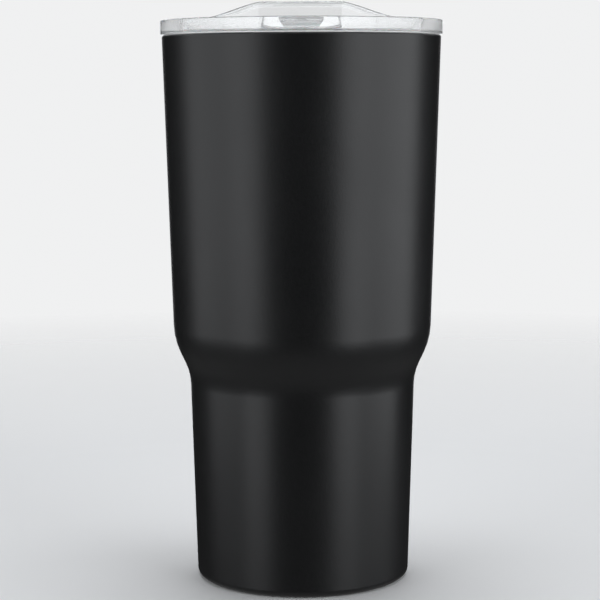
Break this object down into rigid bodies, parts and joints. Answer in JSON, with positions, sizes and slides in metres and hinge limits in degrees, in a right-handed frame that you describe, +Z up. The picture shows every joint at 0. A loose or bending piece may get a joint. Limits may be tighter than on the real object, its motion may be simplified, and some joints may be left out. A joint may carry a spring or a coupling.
{
  "type": "insulated tumbler with lid",
  "caption": "Stepped double-wall steel tumbler with a narrow cup-holder base, a press-on clear lid with a raised drinking spout, and a sliding closure.",
  "frame": {"origin": "centre of the base, on the surface that the tumbler stands on", "axes": "+Z up along the cup's axis; -Y towards the lid's drinking spout; +X to the right as the spout is faced"},
  "size_m": [0.1016, 0.1016, 0.207],
  "materials": {
    "powder_coat": "satin black powder coat",
    "steel": "brushed stainless",
    "copper_foil": "bright rolled foil",
    "solder_glass": "fused glass solder",
    "getter_alloy": "sintered powder",
    "clear_plastic": "clear polished copolyester",
    "silicone": "translucent silicone"
  },
  "bodies": {
    "cup": {"outer_shell": "powder_coat", "inner_liner": "steel", "liner_floor": "steel", "base_pan": "steel", "base_cover": "steel", "vacuum_seal_bead": "solder_glass", "upper_foil_wrap": "copper_foil", "lower_foil_wrap": "copper_foil", "getter_cage": "steel", "getter_pellet": "getter_alloy"},
    "gasket": {"lid_gasket": "silicone"},
    "lid": {"lid_shell": "clear_plastic"},
    "closure": {"slider": "clear_plastic", "slider_seal": "silicone", "slider_keeper": "clear_plastic"}
  },
  "joints": [
    {"name": "lid_lift", "type": "slide", "parent": "cup", "child": "gasket", "axis": [0, 0, 1], "range_m": [0, 0.08]},
    {"name": "lid_turn", "type": "hinge", "parent": "gasket", "child": "lid", "pos_m": [0, 0, 0.197], "axis": [0, 0, 1], "continuous": true},
    {"name": "slider_slide", "type": "slide", "parent": "lid", "child": "closure", "axis": [0, 1, 0], "range_m": [0, 0.013]}
  ]
}
